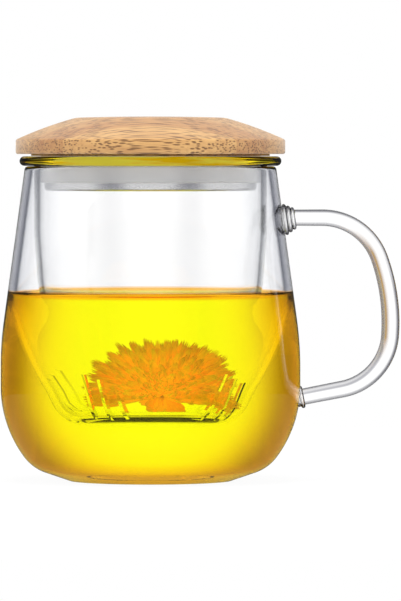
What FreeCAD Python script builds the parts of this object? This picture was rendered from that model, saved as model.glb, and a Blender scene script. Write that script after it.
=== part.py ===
import FreeCAD, Part
import math
import os

import Sketcher

# Lidded glass tea mug with a lift-out glass infuser. Z is up, the handle is on +X, the front is -Y,
# and the origin is on the mug's axis, on the surface that it stands on. Lengths are millimetres.

V = FreeCAD.Vector
doc = FreeCAD.newDocument("lidded_mug")
sizes = doc.addObject("Spreadsheet::Sheet", "sizes")

DRIVING = [
    # The blown mug: a flat foot, a shallow skirt, a tight heel, a round belly and walls leaning in
    ("mug_height", 102.8),
    ("mug_radius", 49.0),
    ("mug_wall", 2.5),
    ("mug_bottom", 3.0),
    ("mouth_radius", 41.2),
    ("foot_radius", 26.5),
    ("skirt_radius", 35.1),
    ("skirt_height", 2.95),
    ("heel_radius", 41.4),
    ("heel_height", 7.8),
    ("heel_bend", 14.4),
    ("belly_low", 30.8),
    ("belly_high", 36.8),
    ("shoulder_height", 52.8),
    ("shoulder_in", 1.1),
    # The drawn glass handle and the collars that melt it onto the wall
    ("handle_top", 86.0),
    ("handle_bottom", 27.2),
    ("handle_reach", 78.5),
    ("handle_widest", 51.7),
    ("handle_side_bend", 62.7),
    ("handle_upper_bend", 19.9),
    ("handle_lower_bend", 19.2),
    ("handle_lower_slope", 11.0),
    ("rod_upper_width", 5.2),
    ("rod_side_width", 5.9),
    ("rod_lower_width", 5.3),
    ("upper_collar_radius", 5.1),
    ("upper_collar_step", 0.7),
    ("upper_collar_drop", 0.7),
    ("lower_collar_radius", 3.7),
    ("collar_ring", 1.3),
    # The glass infuser that hangs in the mouth by its flange
    ("seat_gap", 0.15),
    ("infuser_clearance", 0.6),
    ("infuser_wall", 1.7),
    ("infuser_floor", 2.0),
    ("infuser_depth", 80.85),
    ("infuser_straight", 22.0),
    ("taper_depth", 38.0),
    ("taper_in", 1.2),
    ("bowl_in", 14.1),
    ("bowl_rise", 4.3),
    ("bowl_bend", 8.7),
    ("side_bend", 105.0),
    ("bowl_floor_in", 21.6),
    ("flange_radius", 42.8),
    ("flange_thick", 3.1),
    ("lip_round", 1.5),
    # Saw cuts through the foot of the infuser: groups of three parallel slits
    ("slit_groups", 4),
    ("slit_azimuth", 58.3),
    ("slit_width", 1.0),
    ("slit_spacing", 4.9),
    ("slit_inner", 19.3),
    ("slit_rise", 12.0),
    ("slit_rise_step", 1.5),
    # The bamboo lid, turned from a board of glued strips
    ("lid_radius", 44.05),
    ("lid_plug_in", 5.05),
    ("lid_plug", 0.6),
    ("lid_side", 5.0),
    ("lid_edge", 0.7),
    ("lid_crown", 6.5),
    ("lid_crown_bend", 125.0),
    ("lid_top_radius", 25.7),
    ("lid_top_soft", 2.4),
    ("lid_top_bend", 10.5),
    ("lid_top_rise", 0.4),
    ("lid_top_dome", 0.35),
    ("board_trim", 1.8),
    ("strip_shift", -1.3),
    # The steel pan and silicone seal under the lid
    ("seal_clearance", 0.3),
    ("seal_thick", 2.2),
    ("seal_edge", 0.5),
    ("seal_height", 8.9),
    ("pan_sheet", 0.6),
    ("pan_band", 2.6),
    ("pan_band_in", 1.4),
    ("pan_corner", 1.2),
    ("pan_socket", 2.0),
    ("pan_fit", 0.05),
]

for row, (alias, number) in enumerate(DRIVING, start=1):
    sizes.set("A%d" % row, alias)
    sizes.set("B%d" % row, str(number))
    sizes.setAlias("B%d" % row, alias)
doc.recompute()


def size(text):
    """A size as an expression on the sheet: each alias in the text is read from its cell."""
    words = []
    word = ""
    aliases = {alias for alias, _ in DRIVING}
    for letter in text + " ":
        if letter.isalnum() or letter == "_":
            word += letter
            continue
        words.append("sizes." + word if word in aliases else word)
        words.append(letter)
        word = ""
    return "".join(words).strip()


def value(text):
    """The number that an expression on the sheet gives now, angles in degrees."""
    result = sizes.evalExpression(size(text))
    return float(getattr(result, "Value", result))


def origin_plane(body, role):
    """The body's own origin plane or axis that has this role."""
    return next(item for item in body.Origin.OriginFeatures if item.Role == role)


def new_body(label):
    """An empty PartDesign body whose label names its node."""
    body = doc.addObject("PartDesign::Body", label)
    body.Label = label
    return body


def new_sketch(body, name):
    """A sketch on the body's own upright XZ plane."""
    sketch = body.newObject("Sketcher::SketchObject", name)
    sketch.AttachmentSupport = (origin_plane(body, "XZ_Plane"), "")
    sketch.MapMode = "FlatFace"
    return sketch


def bind(sketch, kind, *where, to):
    """A dimension of the sketch that follows an expression on the sheet."""
    index = sketch.addConstraint(Sketcher.Constraint(kind, *where, value(to)))
    sketch.setExpression("Constraints[%d]" % index, size(to))


HALF_LEFT = "half circle to the left"
HALF_RIGHT = "half circle to the right"


def outline(sketch, corners):
    """A closed outline through corners (across, up, bend).

    A corner's bend says how the outline goes on to the next corner: None is straight, a positive
    radius turns left on the way and a negative one turns right, and HALF_LEFT and HALF_RIGHT are
    half circles between two corners above or beside each other. Each corner is held at its place.
    """
    points = [(value(across), value(up)) for across, up, _ in corners]
    ends = []
    for index, (_, _, bend) in enumerate(corners):
        first = V(*points[index], 0)
        last = V(*points[(index + 1) % len(points)], 0)
        if bend is None:
            line = sketch.addGeometry(Part.LineSegment(first, last), False)
            ends.append((line, 1, 2))
            continue
        chord = last - first
        half_round = bend in (HALF_LEFT, HALF_RIGHT)
        radius = chord.Length / 2 if half_round else abs(value(bend))
        left = bend == HALF_LEFT or not half_round and value(bend) > 0
        normal = V(-chord.y, chord.x, 0).normalize() * (1 if left else -1)
        depth = math.sqrt(max(radius ** 2 - (chord.Length / 2) ** 2, 0.0))
        centre = (first + last) * 0.5 + normal * depth
        start, stop = (first, last) if left else (last, first)
        low = math.atan2(start.y - centre.y, start.x - centre.x)
        high = math.atan2(stop.y - centre.y, stop.x - centre.x)
        if high < low:
            high += 2 * math.pi
        circle = Part.Circle(centre, V(0, 0, 1), radius)
        arc = sketch.addGeometry(Part.ArcOfCircle(circle, low, high), False)
        ends.append((arc, 1, 2) if left else (arc, 2, 1))
    for index, (geometry, _, tail) in enumerate(ends):
        follower, head, _ = ends[(index + 1) % len(ends)]
        sketch.addConstraint(Sketcher.Constraint("Coincident", geometry, tail, follower, head))
    for index, (across, up, bend) in enumerate(corners):
        geometry, head, _ = ends[index]
        for kind, text, axis in (("DistanceX", across, -2), ("DistanceY", up, -1)):
            if text == "0":
                sketch.addConstraint(Sketcher.Constraint("PointOnObject", geometry, head, axis))
            else:
                bind(sketch, kind, -1, 1, geometry, head, to=text)
        if bend in (HALF_LEFT, HALF_RIGHT):
            upright = across == corners[(index + 1) % len(corners)][0]
            if upright:
                bind(sketch, "DistanceX", -1, 1, geometry, 3, to=across)
            else:
                bind(sketch, "DistanceY", -1, 1, geometry, 3, to=up)
        elif bend is not None:
            bind(sketch, "Radius", geometry, to=bend.lstrip("-"))


def revolve(body, name, corners, axis="V_Axis"):
    """A full turn of a closed outline round the sketch's upright or level axis."""
    sketch = new_sketch(body, name + "_outline")
    outline(sketch, corners)
    turned = body.newObject("PartDesign::Revolution", name)
    turned.Profile = sketch
    turned.ReferenceAxis = (sketch, [axis])
    turned.Angle = 360
    body.Tip = turned
    doc.recompute()
    return turned


# Mug body: one blown wall of even thickness, revolved. The side and shoulder arcs leave the belly
# upright, so each radius follows from its rise and its reach, and the inner arcs share their centres.

side_rise = "(belly_low - heel_height)"
side_run = "(mug_radius - heel_radius)"
side_arc = "((%s^2 + %s^2) / (2 * %s))" % (side_rise, side_run, side_run)
heel_lean = "(2 * atan(%s / %s))" % (side_run, side_rise)
skirt_lean = "atan((skirt_radius - foot_radius) / skirt_height)"
shoulder_rise = "(shoulder_height - belly_high)"
shoulder_arc = "((%s^2 + shoulder_in^2) / (2 * shoulder_in))" % shoulder_rise
rim_level = "(mug_height - mug_wall / 2)"
inner_mouth = "(mouth_radius - mug_wall)"
inner_belly = "(mug_radius - mug_wall)"

mug_body = new_body("mug_body")
revolve(mug_body, "mug_wall_turned", [
    ("0", "0", None),
    ("foot_radius", "0", None),
    ("skirt_radius", "skirt_height", "heel_bend"),
    ("heel_radius", "heel_height", side_arc),
    ("mug_radius", "belly_low", None),
    ("mug_radius", "belly_high", shoulder_arc),
    ("mug_radius - shoulder_in", "shoulder_height", None),
    ("mouth_radius", rim_level, HALF_LEFT),
    (inner_mouth, rim_level, None),
    (inner_belly + " - shoulder_in", "shoulder_height", "-(%s - mug_wall)" % shoulder_arc),
    (inner_belly, "belly_high", None),
    (inner_belly, "belly_low", "-(%s - mug_wall)" % side_arc),
    ("heel_radius - mug_wall * cos(%s)" % heel_lean, "heel_height + mug_wall * sin(%s)" % heel_lean,
     "-(heel_bend - mug_wall)"),
    ("skirt_radius - mug_wall * cos(%s)" % skirt_lean,
     "skirt_height + mug_wall * sin(%s)" % skirt_lean, None),
    ("foot_radius", "mug_bottom", None),
    ("0", "mug_bottom", None),
])


# Handle rod: one drawn glass rod of round section, thickest at the grip, bent through a level run,
# an upper corner, a long side bow, a lower corner and a sloping run. Its ends start half way into
# the mug's wall and are trimmed to the outside of the wall.

def wall_radius_above(height):
    """The mug's outer radius on its straight upper wall."""
    reach = "(mug_radius - shoulder_in - mouth_radius)"
    share = "(%s - %s) / (%s - shoulder_height)" % (rim_level, height, rim_level)
    return "(mouth_radius + %s * %s)" % (reach, share)


def wall_radius_below(height):
    """The mug's outer radius on its lower side arc."""
    return "(mug_radius - %s + sqrt(%s^2 - (belly_low - %s)^2))" % (side_arc, side_arc, height)


upper_wall = wall_radius_above("handle_top")
lower_wall = wall_radius_below("handle_bottom")
upper_root = "(%s - mug_wall / 2)" % upper_wall
lower_root = "(%s - mug_wall / 2)" % lower_wall

slope = math.radians(value("handle_lower_slope"))
side_centre = V(value("handle_reach - handle_side_bend"), value("handle_widest"), 0)
side_bend = value("handle_side_bend")
upper_bend = value("handle_upper_bend")
lower_bend = value("handle_lower_bend")
upper_level = value("handle_top") - upper_bend
upper_gap = math.sqrt((side_bend - upper_bend) ** 2 - (upper_level - side_centre.y) ** 2)
upper_centre = V(side_centre.x + upper_gap, upper_level, 0)
lower_level = "(handle_bottom - mug_wall / 2 * tan(handle_lower_slope * 1deg))"
lower_end = V(value(lower_root), value(lower_level), 0)
along = V(math.cos(slope), math.sin(slope), 0)
across = V(-math.sin(slope), math.cos(slope), 0)
lifted = lower_end + across * lower_bend - side_centre
inward = lifted.dot(along)
reach = -inward + math.sqrt(inward ** 2 - lifted.Length ** 2 + (side_bend - lower_bend) ** 2)
lower_centre = side_centre + lifted + along * reach
lower_tangent = lower_end + along * reach


def angle_of(centre, point):
    """The direction from centre to point in the sketch, in radians."""
    return math.atan2(point.y - centre.y, point.x - centre.x)


path_body = new_body("handle_path_holder")
path = new_sketch(path_body, "handle_path")
upper_start = V(value(upper_root), value("handle_top"), 0)
upper_tangent = V(upper_centre.x, value("handle_top"), 0)
path.addGeometry(Part.LineSegment(upper_start, upper_tangent), False)
upper_angle = angle_of(side_centre, upper_centre)
lower_angle = angle_of(side_centre, lower_centre)
for centre, bend, low, high in (
        (upper_centre, upper_bend, upper_angle, math.pi / 2),
        (side_centre, side_bend, lower_angle, upper_angle),
        (lower_centre, lower_bend, slope - math.pi / 2, lower_angle)):
    path.addGeometry(Part.ArcOfCircle(Part.Circle(centre, V(0, 0, 1), bend), low, high), False)
path.addGeometry(Part.LineSegment(lower_tangent, lower_end), False)
path.addConstraint(Sketcher.Constraint("Horizontal", 0))
path.addConstraint(Sketcher.Constraint("Tangent", 0, 2, 1, 2))
path.addConstraint(Sketcher.Constraint("Tangent", 1, 1, 2, 2))
path.addConstraint(Sketcher.Constraint("Tangent", 2, 1, 3, 2))
path.addConstraint(Sketcher.Constraint("Tangent", 3, 1, 4, 1))
bind(path, "DistanceX", -1, 1, 0, 1, to=upper_root)
bind(path, "DistanceY", -1, 1, 0, 1, to="handle_top")
bind(path, "Radius", 1, to="handle_upper_bend")
bind(path, "Radius", 2, to="handle_side_bend")
bind(path, "Radius", 3, to="handle_lower_bend")
bind(path, "DistanceX", -1, 1, 2, 3, to="handle_reach - handle_side_bend")
bind(path, "DistanceY", -1, 1, 2, 3, to="handle_widest")
bind(path, "DistanceX", -1, 1, 4, 2, to=lower_root)
bind(path, "DistanceY", -1, 1, 4, 2, to=lower_level)
doc.recompute()


def rod_section(name, width, x, z, lean):
    """A round section of the rod, standing square to its path: lean is the turn about Y."""
    circle = doc.addObject("Part::Circle", name)
    circle.setExpression("Radius", size(width + " / 2"))
    circle.Placement = FreeCAD.Placement(V(0, 0, 0), FreeCAD.Rotation(V(0, 1, 0), value(lean)))
    circle.setExpression("Placement.Base.x", size(x))
    circle.setExpression("Placement.Base.z", size(z))
    circle.setExpression("Placement.Rotation.Angle", size(lean))
    return circle


rod_sections = [
    rod_section("rod_upper_end", "rod_upper_width", upper_root, "handle_top", "90deg"),
    rod_section("rod_grip", "rod_side_width", "handle_reach", "handle_widest", "180deg"),
    rod_section("rod_lower_end", "rod_lower_width", lower_root, lower_level,
                "270deg - handle_lower_slope * 1deg"),
]
rod = doc.addObject("Part::Sweep", "rod_swept")
rod.Sections = rod_sections
rod.Spine = (path, ["Edge%d" % (index + 1) for index in range(5)])
rod.Solid = True
rod.Frenet = False
doc.recompute()

handle_rod = doc.addObject("Part::Cut", "handle_rod")
handle_rod.Base = rod
handle_rod.Tool = mug_body
handle_rod.Label = "handle_rod"


# Handle collars: the softened glass that joins the rod to the wall, as round ridges side by side.
# The upper ones step down along the rod and stand square to the leaning wall, a little low on it.
# Each collar is bored by the rod and trimmed to the wall.

def collar(label, radii, wall, height, lean):
    """Half-round ridges with these crest radii, turned about a line that leaves the wall."""
    body = new_body(label + "_turned")
    crests = ["%s - collar_ring / 2" % radius for radius in radii]
    corners = [("-(mug_wall / 2)", "0", None), ("-(mug_wall / 2)", crests[0], None)]
    for ring, crest in enumerate(crests):
        corners.append(("%d * collar_ring" % ring, crest, HALF_RIGHT))
        corners.append(("%d * collar_ring" % (ring + 1), crest, None))
    corners.append(("%d * collar_ring" % len(radii), "0", None))
    revolve(body, label + "_ridges", corners, axis="H_Axis")
    body.Placement.Rotation = FreeCAD.Rotation(V(0, -1, 0), value(lean))
    body.setExpression("Placement.Base.x", size(wall))
    body.setExpression("Placement.Base.z", size(height))
    body.setExpression("Placement.Rotation.Angle", size(lean))
    bored = doc.addObject("Part::Cut", label + "_bored")
    bored.Base = body
    bored.Tool = rod
    trimmed = doc.addObject("Part::Cut", label)
    trimmed.Base = bored
    trimmed.Tool = mug_body
    trimmed.Label = label
    return trimmed


collar_height = "(handle_top - upper_collar_drop)"
wall_lean = "atan((mug_radius - shoulder_in - mouth_radius) / (%s - shoulder_height))" % rim_level
upper_collar = collar(
    "handle_upper_collar",
    ["upper_collar_radius", "upper_collar_radius - upper_collar_step",
     "upper_collar_radius - 2 * upper_collar_step"],
    wall_radius_above(collar_height), collar_height, wall_lean)
lower_collar = collar("handle_lower_collar", ["lower_collar_radius"], lower_wall, "handle_bottom",
                      "handle_lower_slope * 1deg")
doc.recompute()


# Infuser glass: a straight neck that tapers into a round bowl, hung from a flange that lies on the
# mug's rim. Groups of parallel saw cuts through the bowl's corner strain the leaves.

infuser_radius = "(mouth_radius - mug_wall - infuser_clearance)"
neck_inner = "(%s - infuser_wall)" % infuser_radius
flange_low = "(mug_height + seat_gap)"
flange_top = "(mug_height + seat_gap + flange_thick)"
underside = "(%s - infuser_depth)" % flange_low
bowl_top = "(%s + bowl_rise)" % underside
bowl_lean = "acos((bowl_bend - bowl_rise) / bowl_bend)"

infuser = new_body("infuser_glass")
revolve(infuser, "infuser_turned", [
    ("0", underside, None),
    (infuser_radius + " - bowl_floor_in", underside, "bowl_bend"),
    (infuser_radius + " - bowl_in", bowl_top, "side_bend"),
    (infuser_radius + " - taper_in", flange_low + " - taper_depth", None),
    (infuser_radius, flange_low + " - infuser_straight", None),
    (infuser_radius, flange_low, None),
    ("flange_radius - flange_thick / 2", flange_low, HALF_LEFT),
    ("flange_radius - flange_thick / 2", flange_top, None),
    (neck_inner + " + lip_round", flange_top, "lip_round"),
    (neck_inner, flange_top + " - lip_round", None),
    (neck_inner, flange_low + " - infuser_straight", None),
    (neck_inner + " - taper_in", flange_low + " - taper_depth", "-(side_bend - infuser_wall)"),
    (infuser_radius + " - bowl_in - infuser_wall * sin(%s)" % bowl_lean,
     bowl_top + " + infuser_wall * cos(%s)" % bowl_lean, "-(bowl_bend - infuser_floor)"),
    (infuser_radius + " - bowl_floor_in", underside + " + infuser_floor", None),
    ("0", underside + " + infuser_floor", None),
])

slits = []
whole = infuser.Shape.Volume
for number in (-1, 0, 1):
    sketch = new_sketch(infuser, "slit_%d_outline" % (number + 2))
    sketch.setExpression("AttachmentOffset.Base.z", size("%d * slit_spacing" % number))
    top = "%s + slit_rise + %d * slit_rise_step" % (underside, number)
    outline(sketch, [
        ("slit_inner", underside + " - infuser_floor", None),
        (infuser_radius, underside + " - infuser_floor", None),
        (infuser_radius, top, None),
        ("slit_inner", top, None),
    ])
    slit = infuser.newObject("PartDesign::Pocket", "slit_%d" % (number + 2))
    slit.Profile = sketch
    slit.Midplane = True
    slit.setExpression("Length", size("slit_width"))
    infuser.Tip = slit
    doc.recompute()
    slits.append(slit)
slit_ring = infuser.newObject("PartDesign::PolarPattern", "slit_ring")
slit_ring.Originals = slits
slit_ring.Axis = (origin_plane(infuser, "Z_Axis"), [""])
slit_ring.Angle = 360
slit_ring.setExpression("Occurrences", size("slit_groups"))
infuser.Tip = slit_ring
infuser.Placement.Rotation = FreeCAD.Rotation(V(0, 0, 1), value("slit_azimuth"))
infuser.setExpression("Placement.Rotation.Angle", size("slit_azimuth * 1deg"))
doc.recompute()


# Bamboo lid: a board glued from upright strips and turned to a disc with a straight side, a low
# crown and a shallow plug under it, grooved for the steel pan. The strips run along X.

seal_radius = "(%s - seal_clearance)" % neck_inner
pan_wall = "(%s - seal_thick)" % seal_radius
lid_seat = "(%s + seat_gap)" % flange_top
lid_side_low = "(%s + lid_plug)" % lid_seat
lid_side_top = "(%s + lid_side)" % lid_side_low
crown_top = "(%s + lid_crown)" % lid_side_top
socket_top = "(%s + pan_socket)" % lid_seat
top_edge = "(%s + lid_top_rise)" % crown_top
dome = "(((lid_top_radius - lid_top_soft)^2 + lid_top_dome^2) / (2 * lid_top_dome))"

lid_board = new_body("lid_board")
revolve(lid_board, "lid_turned", [
    ("0", lid_seat, None),
    (pan_wall + " - pan_sheet - pan_fit", lid_seat, None),
    (pan_wall + " - pan_sheet - pan_fit", socket_top, None),
    (pan_wall + " + pan_fit", socket_top, None),
    (pan_wall + " + pan_fit", lid_seat, None),
    ("lid_radius - lid_plug_in", lid_seat, None),
    ("lid_radius - lid_plug_in", lid_side_low, None),
    ("lid_radius - lid_edge", lid_side_low, "lid_edge"),
    ("lid_radius", lid_side_low + " + lid_edge", None),
    ("lid_radius", lid_side_top + " - lid_edge", "2 * lid_edge"),
    ("lid_radius - lid_edge", lid_side_top, "lid_crown_bend"),
    ("lid_top_radius", crown_top, "lid_top_bend"),
    ("lid_top_radius - lid_top_soft", top_edge, dome),
    ("0", top_edge + " + lid_top_dome", None),
])

STRIP_COUNT = 7
strip_width = "(2 * (lid_radius + board_trim) / %d)" % STRIP_COUNT
strips = []
for number in range(STRIP_COUNT):
    near = "(strip_shift + %s * %s)" % (number - STRIP_COUNT / 2, strip_width)
    width = strip_width
    if number in (0, STRIP_COUNT - 1):
        width = "(%s + lid_radius)" % strip_width
    if number == 0:
        near = "(%s - lid_radius)" % near
    slab = doc.addObject("Part::Box", "strip_slab_%d" % (number + 1))
    slab.setExpression("Length", size("4 * lid_radius"))
    slab.setExpression("Width", size(width))
    slab.setExpression("Height", size("lid_plug + lid_side + lid_crown + lid_top_rise + 2 * lid_top_dome"))
    slab.setExpression("Placement.Base.x", size("-2 * lid_radius"))
    slab.setExpression("Placement.Base.y", size(near))
    slab.setExpression("Placement.Base.z", size(lid_seat))
    strip = doc.addObject("Part::Common", "lid_strip_%d" % (number + 1))
    strip.Base = lid_board
    strip.Tool = slab
    strip.Label = "lid_strip_%d" % (number + 1)
    strips.append(strip)
doc.recompute()


# Steel pan: a spun sheet cup, glued by its edge into the groove of the board. Its wider closed end
# carries the seal.

seal_low = "(%s - seal_height)" % lid_seat
pan_low = "(%s - pan_band)" % seal_low
band_radius = "(%s - pan_band_in)" % seal_radius

pan = new_body("lid_steel_pan")
revolve(pan, "pan_spun", [
    ("0", pan_low, None),
    (band_radius + " - pan_corner", pan_low, "pan_corner"),
    (band_radius, pan_low + " + pan_corner", None),
    (band_radius, seal_low, None),
    (pan_wall, seal_low, None),
    (pan_wall, socket_top, None),
    (pan_wall + " - pan_sheet", socket_top, None),
    (pan_wall + " - pan_sheet", seal_low + " - pan_sheet", None),
    (band_radius + " - pan_sheet", seal_low + " - pan_sheet", None),
    (band_radius + " - pan_sheet", pan_low + " + pan_corner", "-(pan_corner - pan_sheet)"),
    (band_radius + " - pan_corner", pan_low + " + pan_sheet", None),
    ("0", pan_low + " + pan_sheet", None),
])


# Silicone seal: a sleeve on the pan's wall, between its band and the board, that grips the neck.

seal = new_body("lid_seal_ring")
revolve(seal, "seal_moulded", [
    (pan_wall + " + pan_fit", seal_low, None),
    (seal_radius + " - seal_edge", seal_low, "seal_edge"),
    (seal_radius, seal_low + " + seal_edge", None),
    (seal_radius, lid_seat + " - seal_edge", "seal_edge"),
    (seal_radius + " - seal_edge", lid_seat, None),
    (pan_wall + " + pan_fit", lid_seat, None),
])
doc.recompute()


# Every object has to be sound before its file is written.

PIECES = [mug_body, handle_rod, upper_collar, lower_collar, infuser] + strips + [pan, seal]

for item in doc.Objects:
    if "Invalid" in item.State or "Error" in item.State:
        raise RuntimeError("%s failed: %s" % (item.Name, item.State))
if not infuser.Shape.Volume < whole:
    raise RuntimeError("the slits cut nothing")
os.makedirs("parts", exist_ok=True)
for piece in PIECES:
    shape = piece.Shape
    if shape.isNull() or not shape.isValid() or len(shape.Solids) != 1:
        raise RuntimeError("%s is not one sound solid" % piece.Label)
    shape.exportStep("parts/%s.step" % piece.Label)
    print(piece.Label, round(shape.Volume, 2), shape.BoundBox)
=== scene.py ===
"""Lidded tea mug with infuser: the looks of each piece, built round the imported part.

Lengths in the sections are millimetres and become metres as each mesh is made. Z is up, the handle
is on +X, the front is -Y and the mug stands on z = 0.
"""
import math

import bmesh
import bpy
import numpy as np
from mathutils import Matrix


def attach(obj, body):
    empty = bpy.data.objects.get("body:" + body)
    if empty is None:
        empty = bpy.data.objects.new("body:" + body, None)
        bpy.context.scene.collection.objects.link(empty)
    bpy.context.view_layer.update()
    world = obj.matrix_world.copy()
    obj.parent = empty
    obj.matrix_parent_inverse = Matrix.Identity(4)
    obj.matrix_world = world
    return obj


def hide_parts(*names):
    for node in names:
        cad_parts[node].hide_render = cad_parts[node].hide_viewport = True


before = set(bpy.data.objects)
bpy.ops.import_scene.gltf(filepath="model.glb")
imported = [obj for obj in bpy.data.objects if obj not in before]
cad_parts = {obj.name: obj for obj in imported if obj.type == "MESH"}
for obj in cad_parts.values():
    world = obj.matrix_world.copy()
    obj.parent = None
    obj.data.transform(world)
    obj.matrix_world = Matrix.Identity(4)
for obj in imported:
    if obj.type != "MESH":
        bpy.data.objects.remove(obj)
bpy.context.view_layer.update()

# Viewpoint: a long lens level with the underside of the lid, far off in front, so that the mug's
# sides stay upright. It looks a little down, at the middle of the picture, which is right of the mug.
MM = 0.001
PIXEL = 0.327
PICTURE_HEIGHT = 601
EYE_LEVEL = 108.1
AIM = (16.35, 0.0, 58.9)
STAND_OFF = 2060.0
FILM_HEIGHT = 24.0

camera_data = bpy.data.cameras.new("camera")
camera_data.sensor_fit = "VERTICAL"
camera_data.sensor_height = FILM_HEIGHT
camera_data.lens = FILM_HEIGHT * STAND_OFF / (PICTURE_HEIGHT * PIXEL)
camera_data.clip_start = 0.01
camera = bpy.data.objects.new("camera", camera_data)
camera.location = (AIM[0] * MM, -STAND_OFF * MM, EYE_LEVEL * MM)
tilt = math.atan2(EYE_LEVEL - AIM[2], STAND_OFF)
camera.rotation_euler = (math.pi / 2 - tilt, 0, 0)
bpy.context.scene.collection.objects.link(camera)
bpy.context.scene.camera = camera
bpy.context.scene.view_settings.view_transform = "Standard"


# Mug: blown borosilicate glass of even wall, with a flat foot, a round belly and a fire-polished
# rim. It is one skin turned round the axis, outside and inside. Seen edge on, the wall has painted
# shade in its tint: grey above the tea, darkest along its inner face, and below it the tea's orange,
# deeper towards the edges; a band of darker orange at the tea's level is painted shade of its edge.
MUG_HEIGHT = 102.8
MUG_RADIUS = 49.0
MUG_WALL = 2.5
MUG_BOTTOM = 3.0
MOUTH_RADIUS = 41.2
FOOT_RADIUS = 26.5
SKIRT = (35.1, 2.95)
HEEL = (41.4, 7.8)
HEEL_BEND = 14.4
BELLY_LOW = 30.8
BELLY_HIGH = 36.8
SHOULDER_HEIGHT = 52.8
SHOULDER_IN = 1.1
GLASS_IOR = 1.47
TEA_LEVEL = 60.3
# Painted shade in the glass's tint, by how the wall is seen: grey to dark edges above the tea, and the
# tea's orange, deeper towards the edges, below it.
EMPTY_WALL_SHADE = ((0.15, 1, 1, 1), (0.42, 0.97, 0.98, 1), (0.62, 0.84, 0.86, 0.92),
              (0.665, 0.10, 0.11, 0.14), (0.76, 0.27, 0.28, 0.34), (0.87, 0.46, 0.47, 0.51),
              (1, 0.80, 0.80, 0.82))
FILLED_WALL_SHADE = ((0.06, 1, 1, 0.03), (0.26, 1, 0.73, 0.02), (0.36, 1, 0.53, 0.01),
               (0.46, 1, 0.41, 0.01), (0.58, 1, 0.29, 0.01), (0.75, 1, 0.25, 0.01), (1, 1, 0.6, 0.1))
# Painted shade: a band of darker orange in the glass along the tea's edge.
BRIM_SHADE = (1.0, 0.50, 0.02, 1)
BRIM_BAND = (TEA_LEVEL - 0.6, TEA_LEVEL + 0.2)
DRY_BAND = (TEA_LEVEL + 1.5, TEA_LEVEL + 2.2)
WHITE = (1, 1, 1, 1)


def arc(start, end, radius, steps=10):
    """Points from start to end on a circle of this radius: positive turns left on the way."""
    start, end = np.array(start, float), np.array(end, float)
    chord = end - start
    length = np.hypot(*chord)
    normal = np.array([-chord[1], chord[0]]) / length * math.copysign(1, radius)
    centre = (start + end) / 2 + normal * math.sqrt(max(radius ** 2 - (length / 2) ** 2, 0))
    first = math.atan2(*(start - centre)[::-1])
    turn = 2 * math.asin(min(length / 2 / abs(radius), 1)) * math.copysign(1, radius)
    angles = first + turn * np.linspace(0, 1, steps + 1)
    return centre + abs(radius) * np.stack([np.cos(angles), np.sin(angles)], 1)


def line(start, end, steps=1):
    """Evenly spaced points from start to end."""
    return np.linspace(start, end, steps + 1)


def join(*runs):
    """One outline from runs that follow each other, with each shared end kept once."""
    points = np.concatenate(runs)
    step = np.hypot(*np.diff(points, axis=0).T)
    return points[np.concatenate([[True], step > 1e-6])]


def offset(outline, distance):
    """The outline moved square to itself by a distance: to its left when positive."""
    along = np.gradient(outline, axis=0)
    along /= np.hypot(*along.T)[:, None]
    return outline + distance * np.stack([-along[:, 1], along[:, 0]], 1)


def finish_mesh(name, mesh, sharp=35):
    """Closes poles and seams, points the faces outwards, smooths all but sharp edges, and links it."""
    shape = bmesh.new()
    shape.from_mesh(mesh)
    bmesh.ops.remove_doubles(shape, verts=shape.verts, dist=1e-7)
    bmesh.ops.dissolve_degenerate(shape, edges=shape.edges, dist=1e-8)
    bmesh.ops.recalc_face_normals(shape, faces=shape.faces)
    if shape.calc_volume(signed=True) < 0:
        bmesh.ops.reverse_faces(shape, faces=shape.faces)
    shape.to_mesh(mesh)
    shape.free()
    mesh.polygons.foreach_set("use_smooth", np.ones(len(mesh.polygons), bool))
    mesh.set_sharp_from_angle(angle=math.radians(sharp))
    piece = bpy.data.objects.new(name, mesh)
    bpy.context.scene.collection.objects.link(piece)
    return piece


def skin(name, grid, closed_rows=False, closed_columns=False, sharp=35, paint=None):
    """A mesh over a grid of points, millimetres to metres, with neighbours joined into quads.
    paint is a name and a value for each point, which the materials can read."""
    rows, columns = grid.shape[:2]
    index = np.arange(rows * columns).reshape(rows, columns)
    if closed_rows:
        index = np.vstack([index, index[:1]])
    if closed_columns:
        index = np.hstack([index, index[:, :1]])
    quads = np.stack([index[:-1, :-1], index[1:, :-1], index[1:, 1:], index[:-1, 1:]], -1)
    mesh = bpy.data.meshes.new(name)
    mesh.from_pydata((grid.reshape(-1, 3) * MM).tolist(), [], quads.reshape(-1, 4).tolist())
    if paint:
        values = np.broadcast_to(paint[1], (rows, columns)).ravel()
        mesh.attributes.new(paint[0], "FLOAT", "POINT").data.foreach_set("value", values)
    return finish_mesh(name, mesh, sharp)


def turned(name, outline, columns=192, closed=False, sharp=35, paint=None):
    """The outline (r, z) carried round the axis: at turn t it lies at (r cos t, r sin t, z)."""
    turn = np.linspace(0, 2 * math.pi, columns, endpoint=False)
    r, z = outline.T
    level = np.repeat(z[:, None], columns, 1)
    grid = np.stack([np.outer(r, np.cos(turn)), np.outer(r, np.sin(turn)), level], -1)
    return skin(name, grid, closed_rows=closed, closed_columns=True, sharp=sharp, paint=paint)


def new_material(name):
    """A material with its nodes, its links and its Principled surface."""
    made = bpy.data.materials.new(name)
    made.use_nodes = True
    return made, made.node_tree.nodes, made.node_tree.links, made.node_tree.nodes["Principled BSDF"]


def glass(name, ior, shine=0.1):
    """Clear glass: a Principled surface that lets all light through, bent by its IOR, with shine as
    its specular level."""
    made, nodes, links, shader = new_material(name)
    shader.inputs["Base Color"].default_value = WHITE
    shader.inputs["Roughness"].default_value = 0
    shader.inputs["IOR"].default_value = ior
    shader.inputs["Specular IOR Level"].default_value = shine
    shader.inputs["Transmission Weight"].default_value = 1
    return made, nodes, links, shader


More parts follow.
